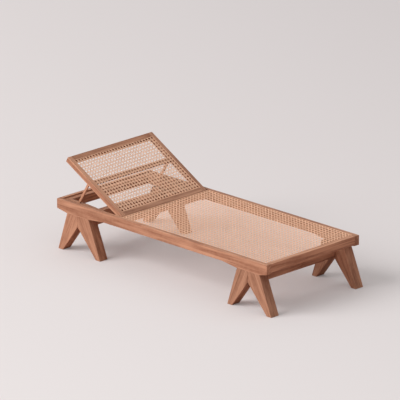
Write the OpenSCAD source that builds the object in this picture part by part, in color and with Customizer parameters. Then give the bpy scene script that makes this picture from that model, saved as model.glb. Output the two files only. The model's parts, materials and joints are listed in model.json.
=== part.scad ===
// Cane chaise lounge: a long frame on four V legs, with a hinged cane back
// that two folding props hold up. Millimetres, +X runs to the foot end, +Z is
// up, and the floor is z = 0 under the middle of the lounge.

/* [Frame] */
// Length of the side rails
frame_len = 2000; // [1800:10:2200]
// Width over the side rails
frame_w = 886; // [760:2:960]
// Height of the seat's top face above the floor
seat_h = 358; // [320:1:420]
// Thickness of a side rail
rail_t = 42; // [40:1:50]
// Depth of a side rail between the legs
rail_h = 69; // [60:1:76]
// Depth of a side rail where it stands on a pair of legs
haunch_h = 86; // [80:1:100]
// Length over which a side rail deepens, on the side of the lounge's middle
haunch_run = 134; // [90:1:180]
// Bare wood beside the cane, along the sides
lip_w = 30; // [20:1:34]
// Bare wood beside the cane, at the foot end
foot_lip_w = 34; // [24:1:38]
// Thickness of the foot rail
foot_rail_t = 46; // [44:1:60]
// Depth of the foot rail
foot_rail_h = 62; // [50:1:66]

/* [Head recess] */
// Width of the head rail, lip and ledge together
head_rail_t = 64; // [54:1:80]
// Depth of the head rail
head_rail_h = 70; // [60:1:80]
// Width of the raised lip on the head rail
head_lip_w = 25; // [18:1:34]
// Drop from the lips down to the ledge
ledge_drop = 11; // [8:1:14]
// Width of a bearer, fixed inside a side rail
bearer_w = 44; // [36:1:60]
// Depth from the lips down to a bearer's underside
bearer_depth = 63; // [56:1:66]

/* [Hinge] */
// Distance of the hinge axis from the head end
hinge_from_head = 598; // [560:1:640]
// Depth of the hinge axis below the seat's top face
axis_drop = 7; // [6:0.5:9]
// Half of the gap between the back and the hinge rail, lying flat
half_gap = 3; // [3:0.5:4]
// Thickness of the hinge rail
hinge_rail_t = 40; // [32:1:52]
// Depth of the hinge rail
hinge_rail_h = 40; // [36:1:60]
// Bare wood beside the cane, on the hinge rail
hinge_lip_w = 6; // [5:1:10]
// Distance between neighbouring hinges
hinge_pitch = 260; // [200:5:300]
// Length of a hinge
hinge_len = 60; // [50:1:76]
// Height of a hinge leaf below the axis
leaf_h = 29; // [26:0.5:30]
// Diameter of the hinge knuckles
knuckle_d = 9; // [8:0.5:10]
// Diameter of the hinge pin
hinge_pin_d = 4; // [3:0.5:5]

/* [Back] */
// Angle of the back above the seat, as it stands on its props
back_angle = 29.4; // [27:0.2:31]
// Length of the back from the hinge axis to its top end
back_len = 612; // [600:1:620]
// Gap between the back and each side lip
back_side_gap = 10; // [6:0.5:12]
// Thickness of the back's frame
back_t = 38; // [36:1:40]
// Width of a stile
stile_w = 36; // [34:1:44]
// Width of the back's top and bottom rails
back_rail_w = 44; // [40:1:56]
// Wood under the edge of the back's cane
back_land = 8; // [7:0.5:10]
// Distance of the middle rail from the hinge axis
middle_rail_u = 356; // [320:1:356]
// Width of the middle rail
middle_rail_w = 28; // [20:1:28]
// Depth of the middle rail
middle_rail_h = 24; // [20:1:24]

/* [Props] */
// Distance of a prop's pivot from the hinge axis, along the back
pivot_u = 374; // [374:1:380]
// Depth of a prop's pivot below the hinge axis, square to the back
pivot_drop = 20; // [19:0.5:21]
// Slope of a prop as it stands on its bearer
prop_angle = 59; // [58:0.5:60]
// Width of a prop, across the lounge
prop_w = 12; // [10:0.5:14]
// Depth of a prop, which is also the diameter of its round ends
prop_t = 16; // [14:0.5:16]
// Diameter of a prop's pivot pin
prop_pin_d = 6; // [5:0.5:7]
// Length of the dished track that the foot of a prop slides in
track_len = 116; // [110:1:124]
// Depth of the dished track
track_depth = 5.2; // [5:0.1:6]

/* [Legs] */
// Thickness of a leg, across the lounge
leg_t = 74; // [60:1:80]
// Half of the distance over a pair of feet
leg_spread = 205; // [180:1:230]
// Width of a foot, along the lounge
foot_w = 44; // [36:1:56]
// Height of the fork between a pair of legs
fork_h = 195; // [180:1:205]
// Distance of the fork from the middle of the feet, towards the head
fork_shift = 14; // [0:1:24]
// Reach of the leg's top from the middle of the feet, towards the head
leg_top_aft = 117; // [105:1:130]
// Reach of the leg's top from the middle of the feet, towards the foot
leg_top_fore = 92; // [80:1:105]
// Distance of the head legs' middle from the head end
head_leg_from_end = 215; // [205:1:240]
// Distance of the foot legs' middle from the foot end
foot_leg_from_end = 163; // [140:1:200]
// Thickness of a leg stretcher
stretcher_t = 48; // [36:1:56]
// Depth of a leg stretcher
stretcher_h = 92; // [80:1:100]
// Diameter of the dowels between legs and rails
dowel_d = 12; // [8:1:14]
// Length of a dowel
dowel_len = 60; // [40:2:70]

/* [Cane] */
// Thickness of the cane and depth of its rebate
cane_t = 3; // [2:0.5:4]
// Width of the spline that holds the cane's edge
spline_w = 4; // [3:0.5:5]
// Share of the cane's pitch that a gap takes
gap_share = 0.7; // [0.6:0.05:0.8]
// Gaps along the seat
seat_gaps_x = 22; // [18:1:22]
// Gaps along the back
back_gaps_x = 9; // [7:1:10]
// Gaps across the seat and the back
cane_gaps_y = 13; // [10:1:13]

/* [Hidden] */

teak = [0.70, 0.49, 0.36];
teak_dark = [0.55, 0.36, 0.25];
cane_colour = [0.88, 0.77, 0.65];
brass = [0.72, 0.58, 0.33];

// Clearances
running_gap = 0.05;   // radial, between a pin and the piece that turns on it
fixed_gap = 0.02;     // radial, round a dowel, screw or fixed pin
closing_gap = 0.5;    // under the closed back
foot_gap = 0.3;       // under the foot of a prop
cut = 1;              // how far a cut runs past the face that it opens

// Frame places. The toes may stand past the rail ends, and the origin is in
// the middle of the whole length.
toe_foot = max(leg_spread - foot_leg_from_end, 0);
toe_head = max(leg_spread - head_leg_from_end, 0);
head_x = toe_head - (frame_len + toe_foot + toe_head) / 2;
foot_x = head_x + frame_len;
half_w = frame_w / 2;
rail_in = half_w - rail_t;            // inner faces of the side rails
leg_in = half_w - leg_t;              // inner faces of the legs
leg_top = seat_h - haunch_h;
hinge_x = head_x + hinge_from_head;
axis_z = seat_h - axis_drop;
seat_face_x = hinge_x + half_gap;     // face of the hinge rail towards the back
ledge_z = seat_h - ledge_drop;
head_leg_x = head_x + head_leg_from_end;
foot_leg_x = foot_x - foot_leg_from_end;

// Mortise and tenon joints
tenon_t = 14;         // thickness of the frame's tenons
tenon_len = 24;       // length of the frame's tenons
tenon_edge = 10;      // wood left above and below a tenon
back_tenon_len = 18;
stretcher_tenon_len = 30;
middle_tenon_len = 7;
middle_tenon_w = 16;

// Back in its own frame: the hinge axis is the origin, and it lies flat along -X
back_under = back_t - axis_drop;
back_half = half_w - lip_w - back_side_gap;
stile_lip = stile_w - back_land;
back_rail_lip = back_rail_w - back_land;
middle_rail_top = -2 - (back_under - middle_rail_h - 2) / 2;

// The closed back lies on the lip of the head rail
lip_reach = hinge_x - (head_x + head_lip_w);
lip_rise = axis_drop + closing_gap;
closed_angle = asin(back_under / norm([lip_reach, lip_rise])) + atan(lip_rise / lip_reach);
function closed_z(x) = axis_z + (hinge_x - x) * tan(closed_angle) - back_under / cos(closed_angle)
    - closing_gap;
knee_x = hinge_x - (ledge_z + closing_gap + back_under / cos(closed_angle) - axis_z)
    / tan(closed_angle);

// Props: the pivot's place, and a length that sets the foot on the ledge
pivot_x = hinge_x - pivot_u * cos(back_angle) - pivot_drop * sin(back_angle);
pivot_z = axis_z + pivot_u * sin(back_angle) - pivot_drop * cos(back_angle);
prop_y = back_half - stile_w / 2;
prop_len = (pivot_z - ledge_z - foot_gap - prop_t / 2) / sin(prop_angle);
prop_foot_x = pivot_x - prop_len * cos(prop_angle);
groove_w = prop_w + 2;
groove_top = -pivot_drop + prop_t / 2 + 7.5;
track_r = track_len * track_len / (8 * track_depth) + track_depth / 2;
track_x = prop_foot_x + 1 - track_len / 2;
prop_pin_inset = 6;   // wood left outside the pin, so that it doesn't show

// Hinges
leaf_t = half_gap - 0.3;
knuckle_r = knuckle_d / 2;
knuckle_room = 0.7;   // round a knuckle, in the wood
knuckle_gap = 0.3;    // between neighbouring knuckles
knuckle_len = hinge_len / 3 - knuckle_gap / 2;
screw_d = 4;
screw_head_d = 7.6;
screw_head_h = 1.9;
screw_len = 20;
screw_z = -(leaf_h + knuckle_r) / 2;
bearer_screw_d = 6;
bearer_screw_head_d = 11;
bearer_screw_head_h = 3;
bearer_screw_len = bearer_w + 24;
bearer_screw_z = seat_h - bearer_depth + 11;

// Joins the outline in (x, z) into a board between two places across the lounge
module board(y0, y1) {
    translate([0, y1, 0]) rotate([90, 0, 0]) linear_extrude(y1 - y0) children();
}

// Copies a right-hand piece to the left
module left() {
    mirror([0, 1, 0]) children();
}

// Both hands of a right-hand piece
module both() {
    children();
    left() children();
}

// Lays the back's own frame at its angle
module on_back() {
    translate([hinge_x, 0, axis_z]) rotate([0, back_angle, 0]) children();
}

// A box given by its lowest and highest corners
module block(low, high) {
    translate(low) cube(high - low);
}

// Countersunk screw, head at the origin and point along -Z
module screw(d, head_d, head_h, len) {
    rotate_extrude($fn = 32)
        polygon([[0, 0], [head_d / 2, 0], [d / 2, -head_h], [d / 2, -len + d / 2], [0, -len]]);
}

// Side rails

module rail_outline() {
    polygon([
        [head_x, seat_h], [foot_x, seat_h], [foot_x, seat_h - rail_h],
        [foot_leg_x + leg_top_fore, leg_top], [foot_leg_x - leg_top_aft, leg_top],
        [foot_leg_x - leg_top_aft - haunch_run, seat_h - rail_h],
        [head_leg_x + leg_top_fore + haunch_run, seat_h - rail_h],
        [head_leg_x + leg_top_fore, leg_top], [head_leg_x - leg_top_aft, leg_top],
        [head_x, seat_h - rail_h]]);
}

// What is cut away over the ledge, so that the closed back finds room
module recess_outline(x0) {
    polygon([[x0, seat_h + cut], [x0, ledge_z], [knee_x, ledge_z],
        [seat_face_x, closed_z(seat_face_x)], [seat_face_x, seat_h + cut]]);
}

module dowel_holes() {
    for (x = dowel_places, leg_x = [head_leg_x, foot_leg_x])
        translate([leg_x + x, -half_w + rail_t / 2, leg_top - dowel_len / 2])
            cylinder(d = dowel_d + 2 * fixed_gap, h = dowel_len, $fn = 32);
}

dowel_side = 24;
dowel_places = [
    for (middle = [-(leg_top_aft + fork_shift) / 2, (leg_top_fore - fork_shift) / 2],
        side = [-dowel_side, dowel_side]) middle + side];

module side_rail() {
    color(teak) difference() {
        board(-half_w, -rail_in) rail_outline();
        block([seat_face_x, -half_w + lip_w, seat_h - cane_t],
            [foot_x - foot_lip_w, -rail_in + cut, seat_h + cut]);
        board(-half_w + lip_w, -rail_in + cut) recess_outline(head_x + head_lip_w);
        head_rail_tenon();
        foot_rail_tenon();
        hinge_rail_tenon();
        dowel_holes();
        bearer_screw_set();
    }
}

module leg_dowels() {
    color(teak_dark) both()
        for (x = dowel_places, leg_x = [head_leg_x, foot_leg_x])
            translate([leg_x + x, -half_w + rail_t / 2, leg_top - dowel_len / 2])
                cylinder(d = dowel_d, h = dowel_len, $fn = 32);
}

// Cross rails of the frame, each with a tenon into both side rails

module rail_tenon(x, z0, z1) {
    block([x - tenon_t / 2, -rail_in - tenon_len, z0 + tenon_edge],
        [x + tenon_t / 2, -rail_in, z1 - tenon_edge]);
}

module head_rail_tenon() {
    rail_tenon(head_x + head_rail_t / 2, seat_h - head_rail_h, ledge_z);
}

module foot_rail_tenon() {
    rail_tenon(foot_x - foot_rail_t / 2, seat_h - foot_rail_h, seat_h);
}

module hinge_rail_tenon() {
    rail_tenon(seat_face_x + hinge_rail_t / 2, seat_h - hinge_rail_h, seat_h);
}

module head_rail() {
    color(teak) {
        difference() {
            union() {
                block([head_x, -rail_in, seat_h - head_rail_h], [head_x + head_rail_t, rail_in, seat_h]);
                both() head_rail_tenon();
            }
            board(-rail_in - cut, rail_in + cut) recess_outline(head_x + head_lip_w);
        }
    }
}

module foot_rail() {
    color(teak) difference() {
        union() {
            block([foot_x - foot_rail_t, -rail_in, seat_h - foot_rail_h], [foot_x, rail_in, seat_h]);
            both() foot_rail_tenon();
        }
        block([foot_x - foot_rail_t - cut, -rail_in - cut, seat_h - cane_t],
            [foot_x - foot_lip_w, rail_in + cut, seat_h + cut]);
    }
}

module hinge_rail() {
    color(teak) difference() {
        union() {
            block([seat_face_x, -rail_in, seat_h - hinge_rail_h],
                [seat_face_x + hinge_rail_t, rail_in, seat_h]);
            both() hinge_rail_tenon();
        }
        block([seat_face_x + hinge_lip_w, -rail_in - cut, seat_h - cane_t],
            [seat_face_x + hinge_rail_t + cut, rail_in + cut, seat_h + cut]);
        translate([hinge_x, 0, axis_z]) {
            knuckle_recesses();
            hinge_screws(1);
        }
    }
}

// Bearers inside the side rails, with the dished tracks for the props

module bearer_screw_set() {
    first = head_x + head_rail_t + 60;
    last = seat_face_x - 60;
    for (x = [first, (first + last) / 2, last])
        translate([x, -rail_in + bearer_w, bearer_screw_z]) rotate([-90, 0, 0])
            screw(bearer_screw_d, bearer_screw_head_d, bearer_screw_head_h, bearer_screw_len);
}

module bearer() {
    color(teak) difference() {
        board(-rail_in, -rail_in + bearer_w) difference() {
            polygon([[head_x + head_rail_t, seat_h - bearer_depth], [seat_face_x, seat_h - bearer_depth],
                [seat_face_x, seat_h - hinge_rail_h], [seat_face_x, ledge_z], [head_x + head_rail_t, ledge_z]]);
            recess_outline(head_x + head_rail_t - cut);
        }
        prop_track();
        bearer_screw_set();
    }
}

module prop_track() {
    translate([track_x, -prop_y + groove_w / 2, ledge_z - track_depth + track_r])
        rotate([90, 0, 0]) cylinder(r = track_r, h = groove_w, $fn = 96);
}

module bearer_screws() {
    color(brass) both() bearer_screw_set();
}

// V legs. Each pair leans together from its feet to a block under the rail.

module leg_outline_aft() {
    polygon([[-leg_spread, 0], [-leg_spread + foot_w, 0], [-fork_shift, fork_h],
        [-fork_shift, leg_top], [-leg_top_aft, leg_top]]);
}

module leg_outline_fore() {
    polygon([[leg_spread, 0], [leg_spread - foot_w, 0], [-fork_shift, fork_h],
        [-fork_shift, leg_top], [leg_top_fore, leg_top]]);
}

module leg(leg_x) {
    color(teak) difference() {
        board(-half_w, -leg_in) translate([leg_x, 0]) children();
        dowel_holes();
        stretcher_tenon(leg_x);
    }
}

module stretcher_tenon(leg_x) {
    block([leg_x - fork_shift - tenon_t / 2, -leg_in - stretcher_tenon_len, fork_h + tenon_edge],
        [leg_x - fork_shift + tenon_t / 2, -leg_in, leg_top - tenon_edge]);
}

module stretcher(leg_x) {
    color(teak) {
        block([leg_x - fork_shift - stretcher_t / 2, -leg_in, leg_top - stretcher_h],
            [leg_x - fork_shift + stretcher_t / 2, leg_in, leg_top]);
        both() stretcher_tenon(leg_x);
    }
}

// Cane, as an open net, and the spline that wedges its edge into the rebate

module cane_net(x0, x1, half, gaps_x, gaps_y) {
    pitch_x = (x1 - x0) / (gaps_x + 1);
    pitch_y = 2 * half / (gaps_y + 1);
    linear_extrude(cane_t) difference() {
        translate([x0, -half]) square([x1 - x0, 2 * half]);
        for (i = [1:gaps_x], j = [1:gaps_y])
            translate([x0 + i * pitch_x, -half + j * pitch_y])
                square([pitch_x * gap_share, pitch_y * gap_share], center = true);
    }
}

module spline_ring(x0, x1, half) {
    linear_extrude(cane_t) difference() {
        translate([x0, -half]) square([x1 - x0, 2 * half]);
        translate([x0 + spline_w, -half + spline_w])
            square([x1 - x0 - 2 * spline_w, 2 * (half - spline_w)]);
    }
}

seat_rebate_x0 = seat_face_x + hinge_lip_w;
seat_rebate_x1 = foot_x - foot_lip_w;
seat_rebate_half = half_w - lip_w;
back_rebate_x0 = -(back_len - back_rail_lip);
back_rebate_x1 = -(half_gap + back_rail_lip);
back_rebate_half = back_half - stile_lip;

module seat_cane() {
    color(cane_colour) translate([0, 0, seat_h - cane_t])
        cane_net(seat_rebate_x0 + spline_w, seat_rebate_x1 - spline_w,
            seat_rebate_half - spline_w, seat_gaps_x, cane_gaps_y);
}

module seat_spline() {
    color(cane_colour) translate([0, 0, seat_h - cane_t])
        spline_ring(seat_rebate_x0, seat_rebate_x1, seat_rebate_half);
}

module back_cane() {
    color(cane_colour) on_back() translate([0, 0, axis_drop - cane_t])
        cane_net(back_rebate_x0 + spline_w, back_rebate_x1 - spline_w,
            back_rebate_half - spline_w, back_gaps_x, cane_gaps_y);
}

module back_spline() {
    color(cane_colour) on_back() translate([0, 0, axis_drop - cane_t])
        spline_ring(back_rebate_x0, back_rebate_x1, back_rebate_half);
}

// Back frame

module back_rebate() {
    block([back_rebate_x0, -back_rebate_half, axis_drop - cane_t],
        [back_rebate_x1, back_rebate_half, axis_drop + cut]);
}

module back_tenon(x, len, width) {
    block([x - width / 2, -back_half + stile_w - len, -back_under + tenon_edge],
        [x + width / 2, -back_half + stile_w, axis_drop - tenon_edge]);
}

module top_rail_tenon() {
    back_tenon(-(back_len - back_rail_w / 2), back_tenon_len, tenon_t);
}

module bottom_rail_tenon() {
    back_tenon(-(half_gap + back_rail_w / 2), back_tenon_len, tenon_t);
}

module middle_rail_tenon() {
    block([-middle_rail_u - middle_tenon_w / 2, -back_half + stile_w - middle_tenon_len,
            middle_rail_top - middle_rail_h + 4],
        [-middle_rail_u + middle_tenon_w / 2, -back_half + stile_w, middle_rail_top - 4]);
}

// Groove under a stile, which the prop folds into
module prop_groove() {
    block([-(pivot_u + prop_len + prop_t / 2 + 4), -prop_y - groove_w / 2, -back_under - cut],
        [-(pivot_u - prop_t / 2 - 3), -prop_y + groove_w / 2, groove_top]);
}

module prop_pin(d) {
    translate([-pivot_u, -back_half + stile_w, -pivot_drop]) rotate([90, 0, 0])
        cylinder(d = d, h = stile_w - prop_pin_inset, $fn = 32);
}

module back_stile() {
    color(teak) on_back() difference() {
        block([-back_len, -back_half, -back_under], [-half_gap, -back_half + stile_w, axis_drop]);
        back_rebate();
        top_rail_tenon();
        bottom_rail_tenon();
        middle_rail_tenon();
        prop_groove();
        prop_pin(prop_pin_d + 2 * fixed_gap);
    }
}

module back_rail_inside(x0, x1) {
    inside = back_half - stile_w;
    block([x0, -inside, -back_under], [x1, inside, axis_drop]);
}

module back_top_rail() {
    color(teak) on_back() difference() {
        union() {
            back_rail_inside(-back_len, -(back_len - back_rail_w));
            both() top_rail_tenon();
        }
        back_rebate();
    }
}

module back_bottom_rail() {
    color(teak) on_back() difference() {
        union() {
            back_rail_inside(-(half_gap + back_rail_w), -half_gap);
            both() bottom_rail_tenon();
        }
        back_rebate();
        knuckle_recesses();
        hinge_screws(-1);
    }
}

module back_middle_rail() {
    inside = back_half - stile_w;
    color(teak_dark) on_back() {
        block([-middle_rail_u - middle_rail_w / 2, -inside, middle_rail_top - middle_rail_h],
            [-middle_rail_u + middle_rail_w / 2, inside, middle_rail_top]);
        both() middle_rail_tenon();
    }
}

// Props and their pins

module prop() {
    color(teak_dark) translate([pivot_x, -prop_y + prop_w / 2, pivot_z]) rotate([0, -prop_angle, 0])
        rotate([90, 0, 0]) difference() {
            union() {
                cylinder(d = prop_t, h = prop_w, $fn = 48);
                translate([-prop_len, 0, 0]) cylinder(d = prop_t, h = prop_w, $fn = 48);
                translate([-prop_len, -prop_t / 2, 0]) cube([prop_len, prop_t, prop_w]);
            }
            translate([0, 0, -cut])
                cylinder(d = prop_pin_d + 2 * running_gap, h = prop_w + 2 * cut, $fn = 32);
        }
}

module prop_pins() {
    color(brass) on_back() both() prop_pin(prop_pin_d);
}

// Butt hinges on the axis. The seat leaf has the outer knuckles, the back
// leaf the middle one.

module at_hinges() {
    for (y = [-hinge_pitch, 0, hinge_pitch]) translate([0, y, 0]) children();
}

module knuckle_recesses() {
    at_hinges() translate([0, (hinge_len + 2 * knuckle_gap) / 2, 0]) rotate([90, 0, 0])
        cylinder(d = knuckle_d + 2 * knuckle_room, h = hinge_len + 2 * knuckle_gap, $fn = 48);
}

// Screws of one leaf: side is 1 on the seat and -1 on the back
module hinge_screws(side) {
    at_hinges() for (y = [-hinge_len / 3, 0, hinge_len / 3])
        translate([side * (half_gap - leaf_t), y, screw_z]) rotate([0, -side * 90, 0])
            screw(screw_d, screw_head_d, screw_head_h, screw_len);
}

module knuckle(y, len) {
    translate([0, y + len / 2, 0]) rotate([90, 0, 0]) cylinder(r = knuckle_r, h = len, $fn = 48);
}

module leaf_plate(side, y, len, top) {
    x0 = side > 0 ? half_gap - leaf_t : -half_gap;
    block([x0, y - len / 2, -leaf_h], [x0 + leaf_t, y + len / 2, top]);
}

module leaf(side, knuckle_places) {
    difference() {
        union() {
            leaf_plate(side, 0, hinge_len, -knuckle_r - knuckle_room);
            for (y = knuckle_places) {
                knuckle(y, knuckle_len);
                leaf_plate(side, y, knuckle_len, 0);
            }
        }
        translate([0, hinge_len, 0]) rotate([90, 0, 0])
            cylinder(d = hinge_pin_d + 2 * (side > 0 ? fixed_gap : running_gap),
                h = 2 * hinge_len, $fn = 32);
    }
}

outer_knuckle = (hinge_len - knuckle_len) / 2;

module hinge_leaves_seat() {
    color(brass) translate([hinge_x, 0, axis_z]) difference() {
        at_hinges() leaf(1, [-outer_knuckle, outer_knuckle]);
        hinge_screws(1);
    }
}

module hinge_leaves_back() {
    color(brass) on_back() difference() {
        at_hinges() leaf(-1, [0]);
        hinge_screws(-1);
    }
}

module hinge_pins() {
    color(brass) translate([hinge_x, 0, axis_z])
        at_hinges() translate([0, hinge_len / 2, 0]) rotate([90, 0, 0])
            cylinder(d = hinge_pin_d, h = hinge_len, $fn = 32);
}

left() side_rail();  // side_rail_left
side_rail();  // side_rail_right
head_rail();
foot_rail();
hinge_rail();
left() bearer();  // bearer_left
bearer();  // bearer_right
bearer_screws();
left() leg(head_leg_x) leg_outline_aft();  // leg_head_left_aft
left() leg(head_leg_x) leg_outline_fore();  // leg_head_left_fore
leg(head_leg_x) leg_outline_aft();  // leg_head_right_aft
leg(head_leg_x) leg_outline_fore();  // leg_head_right_fore
left() leg(foot_leg_x) leg_outline_aft();  // leg_foot_left_aft
left() leg(foot_leg_x) leg_outline_fore();  // leg_foot_left_fore
leg(foot_leg_x) leg_outline_aft();  // leg_foot_right_aft
leg(foot_leg_x) leg_outline_fore();  // leg_foot_right_fore
stretcher(head_leg_x);  // stretcher_head
stretcher(foot_leg_x);  // stretcher_foot
leg_dowels();
seat_cane();
seat_spline();
hinge_leaves_seat();
hinge_pins();
color(brass) translate([hinge_x, 0, axis_z]) hinge_screws(1);  // hinge_screws_seat
hinge_leaves_back();
color(brass) on_back() hinge_screws(-1);  // hinge_screws_back
left() back_stile();  // back_stile_left
back_stile();  // back_stile_right
back_top_rail();
back_bottom_rail();
back_middle_rail();
back_cane();
back_spline();
left() prop();  // prop_left
prop();  // prop_right
prop_pins();
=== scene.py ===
# Cane chaise lounge: teak boards with eased edges, woven cane panels and brass hinges.
import json
import math

import bmesh
import bpy
from mathutils import Matrix, Vector


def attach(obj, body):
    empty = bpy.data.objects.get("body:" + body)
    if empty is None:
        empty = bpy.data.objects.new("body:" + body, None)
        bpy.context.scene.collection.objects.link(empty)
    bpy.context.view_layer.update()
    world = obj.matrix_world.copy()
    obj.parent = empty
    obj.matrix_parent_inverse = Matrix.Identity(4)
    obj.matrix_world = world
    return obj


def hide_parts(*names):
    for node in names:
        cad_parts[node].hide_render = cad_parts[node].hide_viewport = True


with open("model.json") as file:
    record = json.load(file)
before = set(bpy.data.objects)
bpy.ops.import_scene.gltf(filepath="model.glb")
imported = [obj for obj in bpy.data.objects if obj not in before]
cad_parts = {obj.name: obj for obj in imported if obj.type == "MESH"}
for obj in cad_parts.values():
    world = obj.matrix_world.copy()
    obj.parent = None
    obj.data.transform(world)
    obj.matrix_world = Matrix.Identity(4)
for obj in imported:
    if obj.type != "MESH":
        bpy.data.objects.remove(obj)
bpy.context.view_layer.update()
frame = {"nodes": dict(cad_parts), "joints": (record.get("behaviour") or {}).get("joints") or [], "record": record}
print("frame loaded:", len(frame["nodes"]), "nodes")

# Camera, at the photograph's angle

viewpoint = {
    "lens": 540.9,
    "sensor": 36.0,
    "azimuth": 44.865,
    "elevation": 18.394,
    "distance": 41.442,
    "target": (-0.629, 0.547, 0.203),
}


def setCamera(view):
    azimuth, elevation = math.radians(view["azimuth"]), math.radians(view["elevation"])
    back = Vector((math.sin(azimuth) * math.cos(elevation),
                   -math.cos(azimuth) * math.cos(elevation),
                   math.sin(elevation)))
    camera = bpy.data.objects.new("camera", bpy.data.cameras.new("camera"))
    camera.data.lens = view["lens"]
    camera.data.sensor_width = view["sensor"]
    camera.location = Vector(view["target"]) + back * view["distance"]
    camera.rotation_euler = back.to_track_quat("Z", "Y").to_euler()
    bpy.context.scene.collection.objects.link(camera)
    bpy.context.scene.camera = camera


setCamera(viewpoint)
bpy.context.scene.view_settings.view_transform = "Standard"
print("camera set")

# Places that several pieces share. The back's cane and spline are modelled lying flat, with the
# hinge axis as their origin, and turned up to the back's angle.

backAngle = 29.4
hingePlace = Vector(frame["joints"][0]["pos_m"])  # back_hinge is the first joint
flat = Matrix.Identity(4)
raised = Matrix.Translation(hingePlace) @ Matrix.Rotation(math.radians(backAngle), 4, "Y")


def bodyOf(node):
    bodies = frame["record"]["behaviour"]["bodies"]
    return next(body for body in bodies if node in bodies[body])


def pieceName(node):
    words = node.split("_")
    return words[0] + "".join(word.capitalize() for word in words[1:])


def boxIn(turn, node):
    places = [turn.inverted() @ vertex.co for vertex in frame["nodes"][node].data.vertices]
    low = Vector(min(place[axis] for place in places) for axis in range(3))
    high = Vector(max(place[axis] for place in places) for axis in range(3))
    return low, high


crease = 34  # degrees between faces, from which their edge looks sharp


def smoothFaces(shape):
    for face in shape.faces:
        face.smooth = True
    for edge in shape.edges:
        edge.smooth = edge.calc_face_angle(0) < math.radians(crease)


def finishPiece(shape, node, materials, weighted=True):
    mesh = bpy.data.meshes.new(pieceName(node))
    shape.normal_update()
    shape.to_mesh(mesh)
    shape.free()
    piece = bpy.data.objects.new(pieceName(node), mesh)
    bpy.context.scene.collection.objects.link(piece)
    for material in materials:
        mesh.materials.append(material)
    if weighted:
        normals = piece.modifiers.new("flatFaces", "WEIGHTED_NORMAL")
        normals.keep_sharp = True
    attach(piece, bodyOf(node))
    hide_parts(node)


# Shader node groups, each used by more than one material


def newGroup(name, inputs, outputs):
    group = bpy.data.node_groups.new(name, "ShaderNodeTree")
    for label, kind, value in inputs:
        socket = group.interface.new_socket(label, in_out="INPUT", socket_type=kind)
        if value is not None:
            socket.default_value = value
    for label, kind in outputs:
        group.interface.new_socket(label, in_out="OUTPUT", socket_type=kind)
    return group, group.nodes.new("NodeGroupInput"), group.nodes.new("NodeGroupOutput")


def reckoned(tree, operation, first, second=0.0, clamp=False):
    node = tree.nodes.new("ShaderNodeMath")
    node.operation = operation
    node.use_clamp = clamp
    for socket, value in zip(node.inputs, (first, second)):
        if isinstance(value, (int, float)):
            socket.default_value = value
        else:
            tree.links.new(value, socket)
    return node.outputs[0]


def stretched(tree, vector, factors):
    node = tree.nodes.new("ShaderNodeVectorMath")
    node.operation = "MULTIPLY"
    tree.links.new(vector, node.inputs[0])
    node.inputs[1].default_value = factors
    return node.outputs[0]


def noise(tree, vector, detail, roughness=0.5):
    node = tree.nodes.new("ShaderNodeTexNoise")
    tree.links.new(vector, node.inputs["Vector"])
    node.inputs["Scale"].default_value = 1.0
    node.inputs["Detail"].default_value = detail
    node.inputs["Roughness"].default_value = roughness
    return node.outputs["Fac"]


def mixed(tree, factor, first, second):
    node = tree.nodes.new("ShaderNodeMix")
    node.data_type = "RGBA"
    tree.links.new(factor, node.inputs["Factor"])
    for socket, value in ((node.inputs[6], first), (node.inputs[7], second)):
        if isinstance(value, tuple):
            socket.default_value = value
        else:
            tree.links.new(value, socket)
    return node.outputs[2]


def ranged(tree, value, low, high):
    node = tree.nodes.new("ShaderNodeMapRange")
    tree.links.new(value, node.inputs["Value"])
    node.inputs["To Min"].default_value = low
    node.inputs["To Max"].default_value = high
    return node.outputs["Result"]


grainPattern = {
    "bandDetail": 2.5,
    "bandRoughness": 0.6,
    "veinStretch": (1.3, 2.7, 2.7),  # of the band's own pattern
    "veinDetail": 1.5,
    "veinFrom": 0.54,
    "veinFull": 0.74,
    "driftStretch": (2.6, 9.0, 9.0),
    "driftDetail": 1.0,
    "drift": 0.03,  # how far the rings wander, in metres
    "fibreStretch": (9.0, 520.0, 520.0),
    "fibreDetail": 3.0,
    "fibreRoughness": 0.6,
    "ringSharpness": 2.5,
    "ringMiddle": 0.3,
    "ringDepth": 0.4,
    "dull": 0.62,
    "shiny": 0.46,
}


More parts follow.
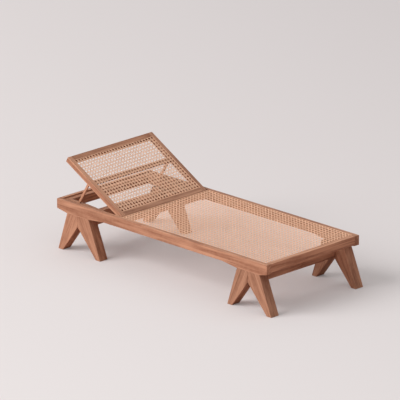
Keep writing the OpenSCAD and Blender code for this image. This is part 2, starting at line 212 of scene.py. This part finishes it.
def makeGrainGroup(pattern):
    group, start, end = newGroup(
        "straightGrain",
        [("Vector", "NodeSocketVector", None),
         ("Light", "NodeSocketColor", (0.5, 0.3, 0.2, 1)),
         ("Dark", "NodeSocketColor", (0.3, 0.15, 0.1, 1)),
         ("Vein", "NodeSocketColor", (0.2, 0.1, 0.06, 1)),
         ("Band Length", "NodeSocketFloat", 0.5),
         ("Band Width", "NodeSocketFloat", 0.03),
         ("Bands", "NodeSocketFloat", 0.5),
         ("Veins", "NodeSocketFloat", 0.5),
         ("Ring Spacing", "NodeSocketFloat", 0.008),
         ("Rings", "NodeSocketFloat", 0.3),
         ("Fibres", "NodeSocketFloat", 0.3)],
        [("Color", "NodeSocketColor"), ("Roughness", "NodeSocketFloat"),
         ("Height", "NodeSocketFloat")])
    vector = start.outputs["Vector"]
    parts = group.nodes.new("ShaderNodeSeparateXYZ")
    group.links.new(vector, parts.inputs[0])
    bandPlace = group.nodes.new("ShaderNodeCombineXYZ")
    for axis, size in zip("XYZ", ("Band Length", "Band Width", "Band Width")):
        group.links.new(reckoned(group, "DIVIDE", parts.outputs[axis], start.outputs[size]),
                        bandPlace.inputs[axis])
    bands = noise(group, bandPlace.outputs[0], pattern["bandDetail"], pattern["bandRoughness"])
    veins = noise(group, stretched(group, bandPlace.outputs[0], pattern["veinStretch"]),
                  pattern["veinDetail"])
    drift = noise(group, stretched(group, vector, pattern["driftStretch"]), pattern["driftDetail"])
    fibres = noise(group, stretched(group, vector, pattern["fibreStretch"]),
                   pattern["fibreDetail"], pattern["fibreRoughness"])
    across = reckoned(group, "POWER", parts.outputs["Y"], 2.0)
    down = reckoned(group, "POWER", parts.outputs["Z"], 2.0)
    radius = reckoned(group, "SQRT", reckoned(group, "ADD", across, down))
    wavy = reckoned(group, "ADD", radius, reckoned(group, "MULTIPLY", drift, pattern["drift"]))
    ring = reckoned(group, "FRACT", reckoned(group, "DIVIDE", wavy, start.outputs["Ring Spacing"]))
    ring = reckoned(group, "POWER", ring, pattern["ringSharpness"])
    # Bands, rings and fibres each shade the wood about its middle tone
    shade = reckoned(group, "MULTIPLY", reckoned(group, "SUBTRACT", bands, 0.5),
                     start.outputs["Bands"])
    lines = reckoned(group, "MULTIPLY", reckoned(group, "SUBTRACT", pattern["ringMiddle"], ring),
                     start.outputs["Rings"])
    hair = reckoned(group, "MULTIPLY", reckoned(group, "SUBTRACT", fibres, 0.5),
                    start.outputs["Fibres"])
    total = reckoned(group, "ADD", reckoned(group, "ADD", shade, lines),
                     reckoned(group, "ADD", hair, 0.5), clamp=True)
    plain = mixed(group, total, start.outputs["Dark"], start.outputs["Light"])
    vein = group.nodes.new("ShaderNodeMapRange")
    group.links.new(veins, vein.inputs["Value"])
    vein.inputs["From Min"].default_value = pattern["veinFrom"]
    vein.inputs["From Max"].default_value = pattern["veinFull"]
    veined = reckoned(group, "MULTIPLY", vein.outputs["Result"], start.outputs["Veins"],
                      clamp=True)
    group.links.new(mixed(group, veined, plain, start.outputs["Vein"]), end.inputs["Color"])
    group.links.new(ranged(group, fibres, pattern["dull"], pattern["shiny"]),
                    end.inputs["Roughness"])
    grooves = reckoned(group, "MULTIPLY", ring, -pattern["ringDepth"])
    group.links.new(reckoned(group, "ADD", fibres, grooves), end.inputs["Height"])
    return group


# Edge wear, partly a painted highlight on the rounded edges, comes in patches, from a little past none to a little
# past full
wearAndHighlightPattern = {"stretch": (34.0, 34.0, 34.0), "detail": 2.0, "least": -0.3, "most": 1.3}


def makeWearAndHighlightGroup(pattern):
    group, start, end = newGroup(
        "easedEdge",
        [("Vector", "NodeSocketVector", None), ("Color", "NodeSocketColor", None),
         ("Edge", "NodeSocketFloat", 0.0), ("Worn", "NodeSocketColor", (1, 1, 1, 1)),
         ("Amount", "NodeSocketFloat", 0.4)],
        [("Color", "NodeSocketColor")])
    patches = noise(group, stretched(group, start.outputs["Vector"], pattern["stretch"]),
                    pattern["detail"])
    mask = reckoned(group, "MULTIPLY", start.outputs["Edge"],
                    ranged(group, patches, pattern["least"], pattern["most"]))
    mask = reckoned(group, "MULTIPLY", mask, start.outputs["Amount"], clamp=True)
    group.links.new(mixed(group, mask, start.outputs["Color"], start.outputs["Worn"]),
                    end.inputs["Color"])
    return group


grainGroup = makeGrainGroup(grainPattern)
wearAndHighlightGroup = makeWearAndHighlightGroup(wearAndHighlightPattern)


def newMaterial(name, specular, turn=(0, 0, 0), shift=(0, 0, 0)):
    material = bpy.data.materials.new(name)
    material.use_nodes = True
    tree = material.node_tree
    shader = next(node for node in tree.nodes if node.type == "BSDF_PRINCIPLED")
    shader.inputs["Specular IOR Level"].default_value = specular
    place = tree.nodes.new("ShaderNodeTexCoord")
    mapping = tree.nodes.new("ShaderNodeMapping")
    mapping.inputs["Rotation"].default_value = [math.radians(angle) for angle in turn]
    mapping.inputs["Location"].default_value = shift
    tree.links.new(place.outputs["Object"], mapping.inputs["Vector"])
    return material, tree, shader, mapping.outputs["Vector"]


def placeGroup(tree, group, values, vector):
    node = tree.nodes.new("ShaderNodeGroup")
    node.node_tree = group
    tree.links.new(vector, node.inputs["Vector"])
    for label, value in values.items():
        node.inputs[label].default_value = value
    return node


def toned(colour, tone):
    shares = tone if isinstance(tone, tuple) else (tone,) * 3
    return tuple(channel * share for channel, share in zip(colour, shares)) + (1,)


def grained(name, finish, tone=1, turn=(0, 0, 0), shift=(0, 0, 0)):
    material, tree, shader, vector = newMaterial(name, finish["specular"], turn, shift)
    grain = placeGroup(tree, grainGroup, {
        "Light": toned(finish["light"], tone),
        "Dark": toned(finish["dark"], tone),
        "Vein": toned(finish["vein"], tone),
        "Band Length": finish["bandLength"],
        "Band Width": finish["bandWidth"],
        "Bands": finish["bands"],
        "Veins": finish["veins"],
        "Ring Spacing": finish["ringSpacing"],
        "Rings": finish["rings"],
        "Fibres": finish["fibres"],
    }, vector)
    tree.links.new(grain.outputs["Color"], shader.inputs["Base Color"])
    tree.links.new(grain.outputs["Roughness"], shader.inputs["Roughness"])
    return material, tree, shader, grain


def addBump(tree, shader, grain, finish):
    bump = tree.nodes.new("ShaderNodeBump")
    bump.inputs["Strength"].default_value = finish["bump"]
    bump.inputs["Distance"].default_value = finish["bumpDepth"]
    tree.links.new(grain.outputs["Height"], bump.inputs["Height"])
    tree.links.new(bump.outputs["Normal"], shader.inputs["Normal"])


# Teak. Each board has its own stretch of grain, which runs along it.

teak = {
    "light": (0.508, 0.264, 0.166, 1),
    "dark": (0.258, 0.108, 0.061, 1),
    "vein": (0.163, 0.061, 0.032, 1),
    "bandLength": 0.42,
    "bandWidth": 0.028,
    "bands": 3.4,
    "veins": 0.75,
    "ringSpacing": 0.0085,
    "rings": 0.28,
    "fibres": 0.7,
    # Lighter colour of the eased edges: partly wear, partly a painted highlight where light catches them
    "worn": (0.505, 0.275, 0.178, 1),
    "wear": 0.35,
    "specular": 0.18,
    "bump": 0.25,
    "bumpDepth": 0.0004,
}

# Degrees that turn a board's length onto X, which the grain runs along
grainTurns = {
    "along": (0, 0, 0),
    "across": (0, 0, -90),
    "aft": (0, 66.3, 0),
    "fore": (0, 117.8, 0),
    "backAlong": (0, -backAngle, 0),
    "backAcross": (0, -backAngle, -90),
    "prop": (0, 59, 0),
}

# How each board's grain runs, how far its edges are rounded, its share of the teak's colour, and a slip where it
# starts further along the grain. The shares are partly the board's own tone and partly painted light and shade,
# set to how each board is lit.
boards = {
    # The far side rail's darker tone is painted shade, for the shade on its inner face
    "side_rail_left": {"grain": "along", "round": 0.0022, "tone": 0.84},
    "side_rail_right": {"grain": "along", "round": 0.0022, "tone": 1.02, "slip": 0.4},
    "head_rail": {"grain": "across", "round": 0.002, "tone": 1.0},
    # The foot rail's lighter tone is painted light, which lifts its end face that the key light does not reach
    "foot_rail": {"grain": "across", "round": 0.0022, "tone": 1.08},
    "hinge_rail": {"grain": "across", "round": 0.0015, "tone": 0.95},
    # The bearers' darker tones are painted shade, for the recess under the seat that they stand in
    "bearer_left": {"grain": "along", "round": 0.0015, "tone": 0.82},
    "bearer_right": {"grain": "along", "round": 0.0015, "tone": 0.85},
    "leg_head_left_aft": {"grain": "aft", "round": 0.0028, "tone": 0.96},
    "leg_head_left_fore": {"grain": "fore", "round": 0.0028, "tone": 1.0},
    "leg_head_right_aft": {"grain": "aft", "round": 0.0028, "tone": 1.0},
    "leg_head_right_fore": {"grain": "fore", "round": 0.0028, "tone": 0.97},
    # The far foot leg's aft limb is toned darker as painted shade, for the shade under the seat that it stands in
    "leg_foot_left_aft": {"grain": "aft", "round": 0.0028, "tone": 0.7},
    "leg_foot_left_fore": {"grain": "fore", "round": 0.0028, "tone": 0.99},
    # The near foot legs are toned darker as painted shade, for their shaded lower faces
    "leg_foot_right_aft": {"grain": "aft", "round": 0.0028, "tone": 0.8},
    "leg_foot_right_fore": {"grain": "fore", "round": 0.0028, "tone": 0.86},
    "stretcher_head": {"grain": "across", "round": 0.002, "tone": 0.94},
    "stretcher_foot": {"grain": "across", "round": 0.002, "tone": 0.94},
    "back_stile_left": {"grain": "backAlong", "round": 0.0022, "tone": 0.93},
    "back_stile_right": {"grain": "backAlong", "round": 0.0022, "tone": 1.08},
    "back_top_rail": {"grain": "backAcross", "round": 0.0022, "tone": (0.87, 0.81, 0.78)},
    "back_bottom_rail": {"grain": "backAcross", "round": 0.0022, "tone": 0.94},
    "back_middle_rail": {"grain": "backAcross", "round": 0.002, "tone": 0.9},
    "prop_left": {"grain": "prop", "round": 0.001, "tone": 1.08},
    "prop_right": {"grain": "prop", "round": 0.001, "tone": 1.12},
}

# Where a board starts in the grain, in metres, by its place in the list above
grainStart = {
    "along": 0.37,
    "across": 0.11,
    "acrossStep": 0.013,
    "acrossSteps": 5,
    "down": 0.16,
    "downStep": 0.017,
    "downSteps": 7,
}

# Edges between wide faces take the board's own round, and the others a fine one
easing = {
    "wideFace": 0.010,
    "wideSegments": 3,
    "fine": 0.0006,
    "fineSegments": 2,
    "shortest": 0.008,  # length of the shortest edge that is eased
    "bluntest": 25,  # degrees between the faces of the bluntest edge that is eased
    "flat": 0.5,  # degrees between faces that are merged into one
    "smallest": 0.000002,  # what is shorter is merged away
}


def grainShift(order, board):
    return (grainStart["along"] * order + board.get("slip", 0),
            grainStart["across"] + grainStart["acrossStep"] * (order % grainStart["acrossSteps"]),
            grainStart["down"] + grainStart["downStep"] * (order % grainStart["downSteps"]))


def teakFor(node, order, board):
    material, tree, shader, grain = grained(
        "teak " + pieceName(node), teak, board["tone"], grainTurns[board["grain"]],
        grainShift(order, board))
    vector = grain.inputs["Vector"].links[0].from_socket
    # Eased edges are mixed towards a lighter colour: wear, and partly a painted highlight on the rounded edges
    wear = placeGroup(tree, wearAndHighlightGroup, {
        "Worn": toned(teak["worn"], board["tone"]), "Amount": teak["wear"]}, vector)
    edge = tree.nodes.new("ShaderNodeAttribute")
    edge.attribute_name = "eased"
    tree.links.new(edge.outputs["Fac"], wear.inputs["Edge"])
    tree.links.new(grain.outputs["Color"], wear.inputs["Color"])
    tree.links.new(wear.outputs["Color"], shader.inputs["Base Color"])
    addBump(tree, shader, grain, teak)
    return material


def faceWidth(face):
    return face.calc_area() / max(edge.calc_length() for edge in face.edges)


def edgesToEase(shape, wide):
    return [edge for edge in shape.edges
            if edge.is_manifold and edge.is_convex
            and edge.calc_length() > easing["shortest"]
            and edge.calc_face_angle() > math.radians(easing["bluntest"])
            and (min(map(faceWidth, edge.link_faces)) > easing["wideFace"]) == wide]


def easeEdges(shape, eased, edges, offset, segments):
    made = bmesh.ops.bevel(shape, geom=edges, offset=offset, offset_type="OFFSET",
                           segments=segments, profile=0.5, affect="EDGES", material=-1,
                           clamp_overlap=False)
    for face in made["faces"]:
        for loop in face.loops:
            loop[eased] = (1, 1, 1, 1)  # read by the wear and painted edge highlight in the material


def easedBoard(node, board, material):
    copied = frame["nodes"][node].data.copy()
    for name in ("custom_normal", "sharp_face", "sharp_edge"):
        if name in copied.attributes:
            copied.attributes.remove(copied.attributes[name])
    shape = bmesh.new()
    shape.from_mesh(copied)
    bpy.data.meshes.remove(copied)
    for face in shape.faces:
        face.material_index = 0
    eased = shape.loops.layers.float_color.new("eased")
    bmesh.ops.remove_doubles(shape, verts=shape.verts, dist=easing["smallest"])
    bmesh.ops.dissolve_limit(shape, angle_limit=math.radians(easing["flat"]), verts=shape.verts,
                             edges=shape.edges)
    easeEdges(shape, eased, edgesToEase(shape, True), board["round"], easing["wideSegments"])
    easeEdges(shape, eased, edgesToEase(shape, False), easing["fine"], easing["fineSegments"])
    bmesh.ops.dissolve_degenerate(shape, edges=shape.edges, dist=easing["smallest"])
    smoothFaces(shape)
    finishPiece(shape, node, [material])


for order, (node, board) in enumerate(boards.items()):
    easedBoard(node, board, teakFor(node, order, board))
print("boards eased:", len(boards))

# Cane. Pairs of strands run both ways, over and under each other, and single strands run
# aslant between their crossings, which leaves the eight-sided holes of six-way cane.

cane = {
    "pitch": 0.0267,
    "pairHalf": 0.0031,  # from the middle of a pair to the middle of a strand
    "thickness": 0.0005,
    "pairWave": 0.0003,
    "diagonalWave": 0.0008,
    "top": 0.0003,  # below the frame's top face
    "light": (0.80, 0.46, 0.30, 1),
    "dark": (0.63, 0.335, 0.205, 1),
    "vein": (0.46, 0.225, 0.125, 1),
    "bandLength": 0.20,
    "bandWidth": 0.009,
    "bands": 1.6,
    "veins": 0.35,
    "ringSpacing": 0.05,
    "rings": 0.0,
    "fibres": 0.5,
    "specular": 0.4,
    "bump": 0.3,
    "bumpDepth": 0.0002,
}

# How each run of strands is turned, its width, and its tones on the seat and on the back. The tones are painted
# light, a painted sheen that lights each run of strands to its own level, which make the weave show stripes from
# the camera
caneRuns = {
    "Along": {"turn": 0, "width": 0.0032, "seat": (1.0, 1.0, 1.0), "back": (1.17, 1.34, 1.46)},
    "Across": {"turn": 90, "width": 0.0018, "seat": (1.14, 1.24, 1.3), "back": (1.25, 1.5, 1.7)},
    "Left": {"turn": 45, "width": 0.0036, "seat": (1.0, 1.0, 1.0), "back": (1.0, 1.0, 1.0)},
    "Right": {"turn": -45, "width": 0.0040, "seat": (1.17, 1.34, 1.46), "back": (1.0, 1.05, 1.05)},
}


def caneMaterial(name, turn, tone):
    material, tree, shader, grain = grained(name, cane, tone, turn)
    addBump(tree, shader, grain, cane)
    return material


def placesFor(count, spacing, half=0):
    middles = [(step - (count - 1) / 2) * spacing for step in range(count)]
    return [middle + side for middle in middles for side in ((-half, half) if half else (0,))]


def layStrands(shape, stops, lines, width, wave, place, index):
    lastStop, lastEdge = len(stops) - 1, 2 * len(lines) - 1
    made = bmesh.ops.create_grid(shape, x_segments=lastStop, y_segments=lastEdge, size=0.5)
    faces = list(dict.fromkeys(face for vertex in made["verts"] for face in vertex.link_faces))
    gaps = [face for face in faces
            if int((face.calc_center_median().y + 0.5) * lastEdge) % 2]
    for vertex in made["verts"]:
        stop = round((vertex.co.x + 0.5) * lastStop)
        line, side = divmod(round((vertex.co.y + 0.5) * lastEdge), 2)
        height = wave if (stop + line) % 2 else -wave
        vertex.co = (stops[stop], lines[line] + (side - 0.5) * width,
                     height + cane["thickness"] / 2)
    bmesh.ops.delete(shape, geom=gaps, context="FACES")
    strands = [face for face in faces if face.is_valid]
    for face in strands:
        face.material_index = index
    grown = bmesh.ops.extrude_face_region(shape, geom=strands)
    lower = [item for item in grown["geom"] if isinstance(item, bmesh.types.BMVert)]
    bmesh.ops.translate(shape, vec=(0, 0, -cane["thickness"]), verts=lower)
    upper = list(dict.fromkeys(vertex for face in strands for vertex in face.verts))
    bmesh.ops.transform(shape, matrix=place, verts=upper + lower)


def trimTo(shape, low, high):
    sides = [((low.x, 0, 0), (-1, 0, 0)), ((high.x, 0, 0), (1, 0, 0)),
             ((0, low.y, 0), (0, -1, 0)), ((0, high.y, 0), (0, 1, 0))]
    for place, outward in sides:
        bmesh.ops.bisect_plane(shape, geom=shape.verts[:] + shape.edges[:] + shape.faces[:],
                               plane_co=place, plane_no=outward, clear_outer=True)
        bmesh.ops.holes_fill(shape, edges=[edge for edge in shape.edges if edge.is_boundary])


def wovenPanel(node, turn, materials):
    low, high = boxIn(turn, node)
    centre = (low + high) / 2
    level = high.z - cane["top"] - cane["diagonalWave"] - cane["thickness"] / 2
    pitch, half = cane["pitch"], cane["pairHalf"]
    columns = int((high.x - low.x) / pitch)
    rows = int((high.y - low.y) / pitch)
    slant, diagonals = pitch / math.sqrt(2), columns + rows

    def turned(angle):
        return (Matrix.Translation((centre.x, centre.y, level))
                @ Matrix.Rotation(math.radians(angle), 4, "Z"))

    shape = bmesh.new()
    for index, (run, crossings, pairs) in enumerate((("Along", columns, rows),
                                                     ("Across", rows, columns))):
        layStrands(shape, placesFor(crossings + 2, pitch, half), placesFor(pairs, pitch, half),
                   caneRuns[run]["width"], cane["pairWave"], turned(caneRuns[run]["turn"]), index)
    # The sign of the second wave keeps the two slanting runs apart where they cross
    for index, (run, wave) in enumerate((("Left", 1), ("Right", 1 - 2 * (diagonals % 2))), 2):
        layStrands(shape, placesFor(diagonals + 2, slant), placesFor(diagonals, slant),
                   caneRuns[run]["width"], wave * cane["diagonalWave"],
                   turned(caneRuns[run]["turn"]), index)
    trimTo(shape, low, high)
    bmesh.ops.recalc_face_normals(shape, faces=shape.faces)
    smoothFaces(shape)
    bmesh.ops.transform(shape, matrix=turn, verts=shape.verts)
    finishPiece(shape, node, materials, weighted=False)


def caneMaterials(name, lean):
    return [caneMaterial("cane " + name + run, (0, -lean, -laid["turn"]), laid[name])
            for run, laid in caneRuns.items()]


wovenPanel("seat_cane", flat, caneMaterials("seat", 0))
wovenPanel("back_cane", raised, caneMaterials("back", backAngle))
print("cane woven")

# Splines: a rounded bead of split cane round each panel

splineBead = {
    "crown": 0.0012,
    "segments": 3,
    "raised": 0.0003,
    "corner": 0.5,  # radians between faces, from which their edge is rounded
    "tone": 0.9,
}


def beadRound(node, turn, material):
    low, high = boxIn(turn, node)
    inner = boxIn(turn, node.replace("spline", "cane"))[0]
    width = inner.x - low.x
    centre = (low + high) / 2
    shape = bmesh.new()
    place = Matrix.Translation((centre.x, centre.y, high.z + splineBead["raised"]))
    size = Matrix.Diagonal((high.x - low.x, high.y - low.y, 1, 1))
    bmesh.ops.create_grid(shape, x_segments=1, y_segments=1, size=0.5, matrix=place @ size)
    middle = shape.faces[:]
    bmesh.ops.inset_region(shape, faces=middle, thickness=width, use_even_offset=True,
                           use_boundary=True)
    bmesh.ops.delete(shape, geom=middle, context="FACES")
    depth = high.z - low.z + splineBead["raised"]
    made = bmesh.ops.extrude_face_region(shape, geom=shape.faces[:])
    bottom = [item for item in made["geom"] if isinstance(item, bmesh.types.BMVert)]
    bmesh.ops.translate(shape, vec=(0, 0, -depth), verts=bottom)
    bmesh.ops.recalc_face_normals(shape, faces=shape.faces)
    upper = [edge for edge in shape.edges
             if all(vertex.co.z > high.z for vertex in edge.verts)
             and edge.calc_face_angle(0) > splineBead["corner"]]
    bmesh.ops.bevel(shape, geom=upper, offset=splineBead["crown"], offset_type="OFFSET",
                    segments=splineBead["segments"], profile=0.5, affect="EDGES", material=-1)
    smoothFaces(shape)
    bmesh.ops.transform(shape, matrix=turn, verts=shape.verts)
    finishPiece(shape, node, [material])


seatBead = caneMaterial("cane seatSpline", (0, 0, 0), splineBead["tone"])
backBead = caneMaterial("cane backSpline", (0, -backAngle, 0), splineBead["tone"])
beadRound("seat_spline", flat, seatBead)
beadRound("back_spline", raised, backBead)
print("splines laid")

# Brass hardware. It and the dowels keep the meshes that they have in the frame.

brass = {
    "light": (0.62, 0.46, 0.24, 1),
    "dark": (0.44, 0.31, 0.15, 1),
    "vein": (0.44, 0.31, 0.15, 1),
    "bandLength": 0.05,
    "bandWidth": 0.01,
    "bands": 0.8,
    "veins": 0.5,
    "ringSpacing": 0.05,
    "rings": 0.0,
    "fibres": 0.3,
    "specular": 0.5,
    "shiny": 0.28,
    "dull": 0.5,
}


def brassMaterial():
    material, tree, shader, grain = grained("brass", brass)
    shader.inputs["Metallic"].default_value = 1.0
    tree.links.new(ranged(tree, grain.outputs["Height"], brass["shiny"], brass["dull"]),
                   shader.inputs["Roughness"])
    return material


def dress(node, material):
    mesh = frame["nodes"][node].data
    mesh.materials.clear()
    mesh.materials.append(material)


brassFinish = brassMaterial()
for part in frame["record"]["subparts"]:
    if part["material_slot"] == "brass":
        dress(part["node"], brassFinish)
dowelBoard = {"grain": "along", "tone": 0.95}
dress("leg_dowels", teakFor("leg_dowels", len(boards), dowelBoard))
print("hardware finished")

# Floor and light

floorSettings = {
    "size": 400.0,
    # The floor is painted lighter from far to near, a painted pool of light
    "near": (0.787, 0.742, 0.739, 1),
    "far": (0.585, 0.548, 0.55, 1),
    "slope": 0.125,  # share of the way from far to near in a metre
    "slopeTurn": 108.5,
    "slopeMiddle": 0.5,
    "specular": 0.1,
    "roughness": 0.9,
    "glow": 0.16,  # how far the camera sees the floor's own colour in the shadows
    "bounce": (0.60, 0.40, 0.345, 1),  # what lights the object from below
}
lightSettings = {
    "towards": (-0.40, -0.75, 0.53),
    "key": 2.95,
    "softness": 42.0,
    "skyTop": 0.85,
    "skyLow": 0.22,
    "sky": (1, 0.985, 0.97, 1),
    "horizon": (0.69, 0.65, 0.655, 1),  # what the camera sees past the floor
}


def makeFloor(settings):
    shape = bmesh.new()
    bmesh.ops.create_grid(shape, x_segments=1, y_segments=1, size=settings["size"] / 2)
    mesh = bpy.data.meshes.new("floor")
    shape.to_mesh(mesh)
    shape.free()
    floor = bpy.data.objects.new("floor", mesh)
    bpy.context.scene.collection.objects.link(floor)
    material, tree, shader, vector = newMaterial("floor", settings["specular"])
    shader.inputs["Roughness"].default_value = settings["roughness"]
    slope = tree.nodes.new("ShaderNodeMapping")
    slope.inputs["Rotation"].default_value = (0, 0, math.radians(settings["slopeTurn"]))
    slope.inputs["Location"].default_value = (settings["slopeMiddle"], 0, 0)
    slope.inputs["Scale"].default_value = [settings["slope"]] * 3
    tree.links.new(vector, slope.inputs["Vector"])
    shade = tree.nodes.new("ShaderNodeTexGradient")
    tree.links.new(slope.outputs["Vector"], shade.inputs["Vector"])
    colour = mixed(tree, shade.outputs["Fac"], settings["far"], settings["near"])
    path = tree.nodes.new("ShaderNodeLightPath")
    tree.links.new(mixed(tree, path.outputs["Is Camera Ray"], settings["bounce"], colour),
                   shader.inputs["Base Color"])
    # Painted light: for the camera the floor glows with its own colour, which lifts the shadows on it
    glow = tree.nodes.new("ShaderNodeEmission")
    tree.links.new(colour, glow.inputs["Color"])
    both = tree.nodes.new("ShaderNodeMixShader")
    end = next(node for node in tree.nodes if node.type == "OUTPUT_MATERIAL")
    tree.links.new(reckoned(tree, "MULTIPLY", path.outputs["Is Camera Ray"], settings["glow"]),
                   both.inputs[0])
    tree.links.new(shader.outputs[0], both.inputs[1])
    tree.links.new(glow.outputs[0], both.inputs[2])
    tree.links.new(both.outputs[0], end.inputs["Surface"])
    mesh.materials.append(material)


def makeLight(settings):
    key = bpy.data.objects.new("key", bpy.data.lights.new("key", "SUN"))
    key.data.energy = settings["key"]
    key.data.angle = math.radians(settings["softness"])
    key.rotation_euler = Vector(settings["towards"]).to_track_quat("Z", "Y").to_euler()
    bpy.context.scene.collection.objects.link(key)
    world = bpy.data.worlds.new("studio")
    world.use_nodes = True
    bpy.context.scene.world = world
    tree = world.node_tree
    tree.nodes.clear()
    end = tree.nodes.new("ShaderNodeOutputWorld")
    both = tree.nodes.new("ShaderNodeMixShader")
    sky = tree.nodes.new("ShaderNodeBackground")
    seen = tree.nodes.new("ShaderNodeBackground")
    path = tree.nodes.new("ShaderNodeLightPath")
    place = tree.nodes.new("ShaderNodeTexCoord")
    parts = tree.nodes.new("ShaderNodeSeparateXYZ")
    tree.links.new(place.outputs["Generated"], parts.inputs[0])
    tree.links.new(ranged(tree, parts.outputs["Z"], settings["skyLow"], settings["skyTop"]),
                   sky.inputs["Strength"])
    sky.inputs["Color"].default_value = settings["sky"]
    seen.inputs["Color"].default_value = settings["horizon"]
    tree.links.new(path.outputs["Is Camera Ray"], both.inputs[0])
    tree.links.new(sky.outputs[0], both.inputs[1])
    tree.links.new(seen.outputs[0], both.inputs[2])
    tree.links.new(both.outputs[0], end.inputs["Surface"])


makeFloor(floorSettings)
makeLight(lightSettings)
print("floor and light set")
